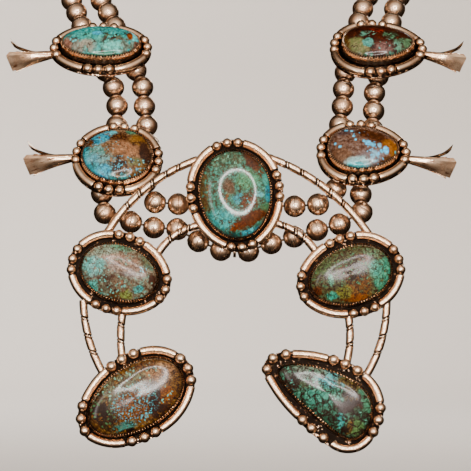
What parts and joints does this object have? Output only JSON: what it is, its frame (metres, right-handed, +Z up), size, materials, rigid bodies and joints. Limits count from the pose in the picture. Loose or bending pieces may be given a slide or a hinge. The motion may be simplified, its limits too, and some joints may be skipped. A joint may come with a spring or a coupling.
{
  "type": "necklace",
  "caption": "Squash blossom necklace: crescent naja with turquoise cabochons under two strands of round silver beads carrying set stones with trumpet blossoms",
  "frame": {"origin": "at the nape, midway between the two strands at the middle of the clasp, where the necklace hangs on the wearer", "axes": "+X to the viewer's right, +Y back from the naja to the nape, +Z up; the naja faces -Y"},
  "size_m": [0.1535, 0.187, 0.1968],
  "materials": {
    "silver": "old silver, polished on the high parts and blackened in the recesses",
    "bead_silver": "satin silver with a seam round the middle",
    "thread": "waxed cord",
    "stone_centre": "polished turquoise with brown matrix",
    "stone_left": "polished turquoise with brown matrix",
    "stone_right": "polished turquoise with brown matrix",
    "stone_lower_left": "polished turquoise with brown matrix",
    "stone_lower_right": "polished turquoise with brown matrix",
    "blossom_stone_upper_left": "polished turquoise with brown matrix",
    "blossom_stone_upper_right": "polished turquoise with brown matrix",
    "blossom_stone_lower_left": "polished turquoise with brown matrix",
    "blossom_stone_lower_right": "polished turquoise with brown matrix"
  },
  "bodies": {
    "root": {"naja": "silver", "stone_centre": "stone_centre", "stone_left": "stone_left", "stone_right": "stone_right", "stone_lower_left": "stone_lower_left", "stone_lower_right": "stone_lower_right", "blossom_upper_left": "silver", "blossom_upper_right": "silver", "blossom_lower_left": "silver", "blossom_lower_right": "silver", "blossom_stone_upper_left": "blossom_stone_upper_left", "blossom_stone_upper_right": "blossom_stone_upper_right", "blossom_stone_lower_left": "blossom_stone_lower_left", "blossom_stone_lower_right": "blossom_stone_lower_right", "beads_inner_left": "bead_silver", "beads_outer_left": "bead_silver", "beads_inner_right": "bead_silver", "beads_outer_right": "bead_silver", "thread_inner": "thread", "thread_outer": "thread", "clasp": "silver"}
  },
  "joints": []
}
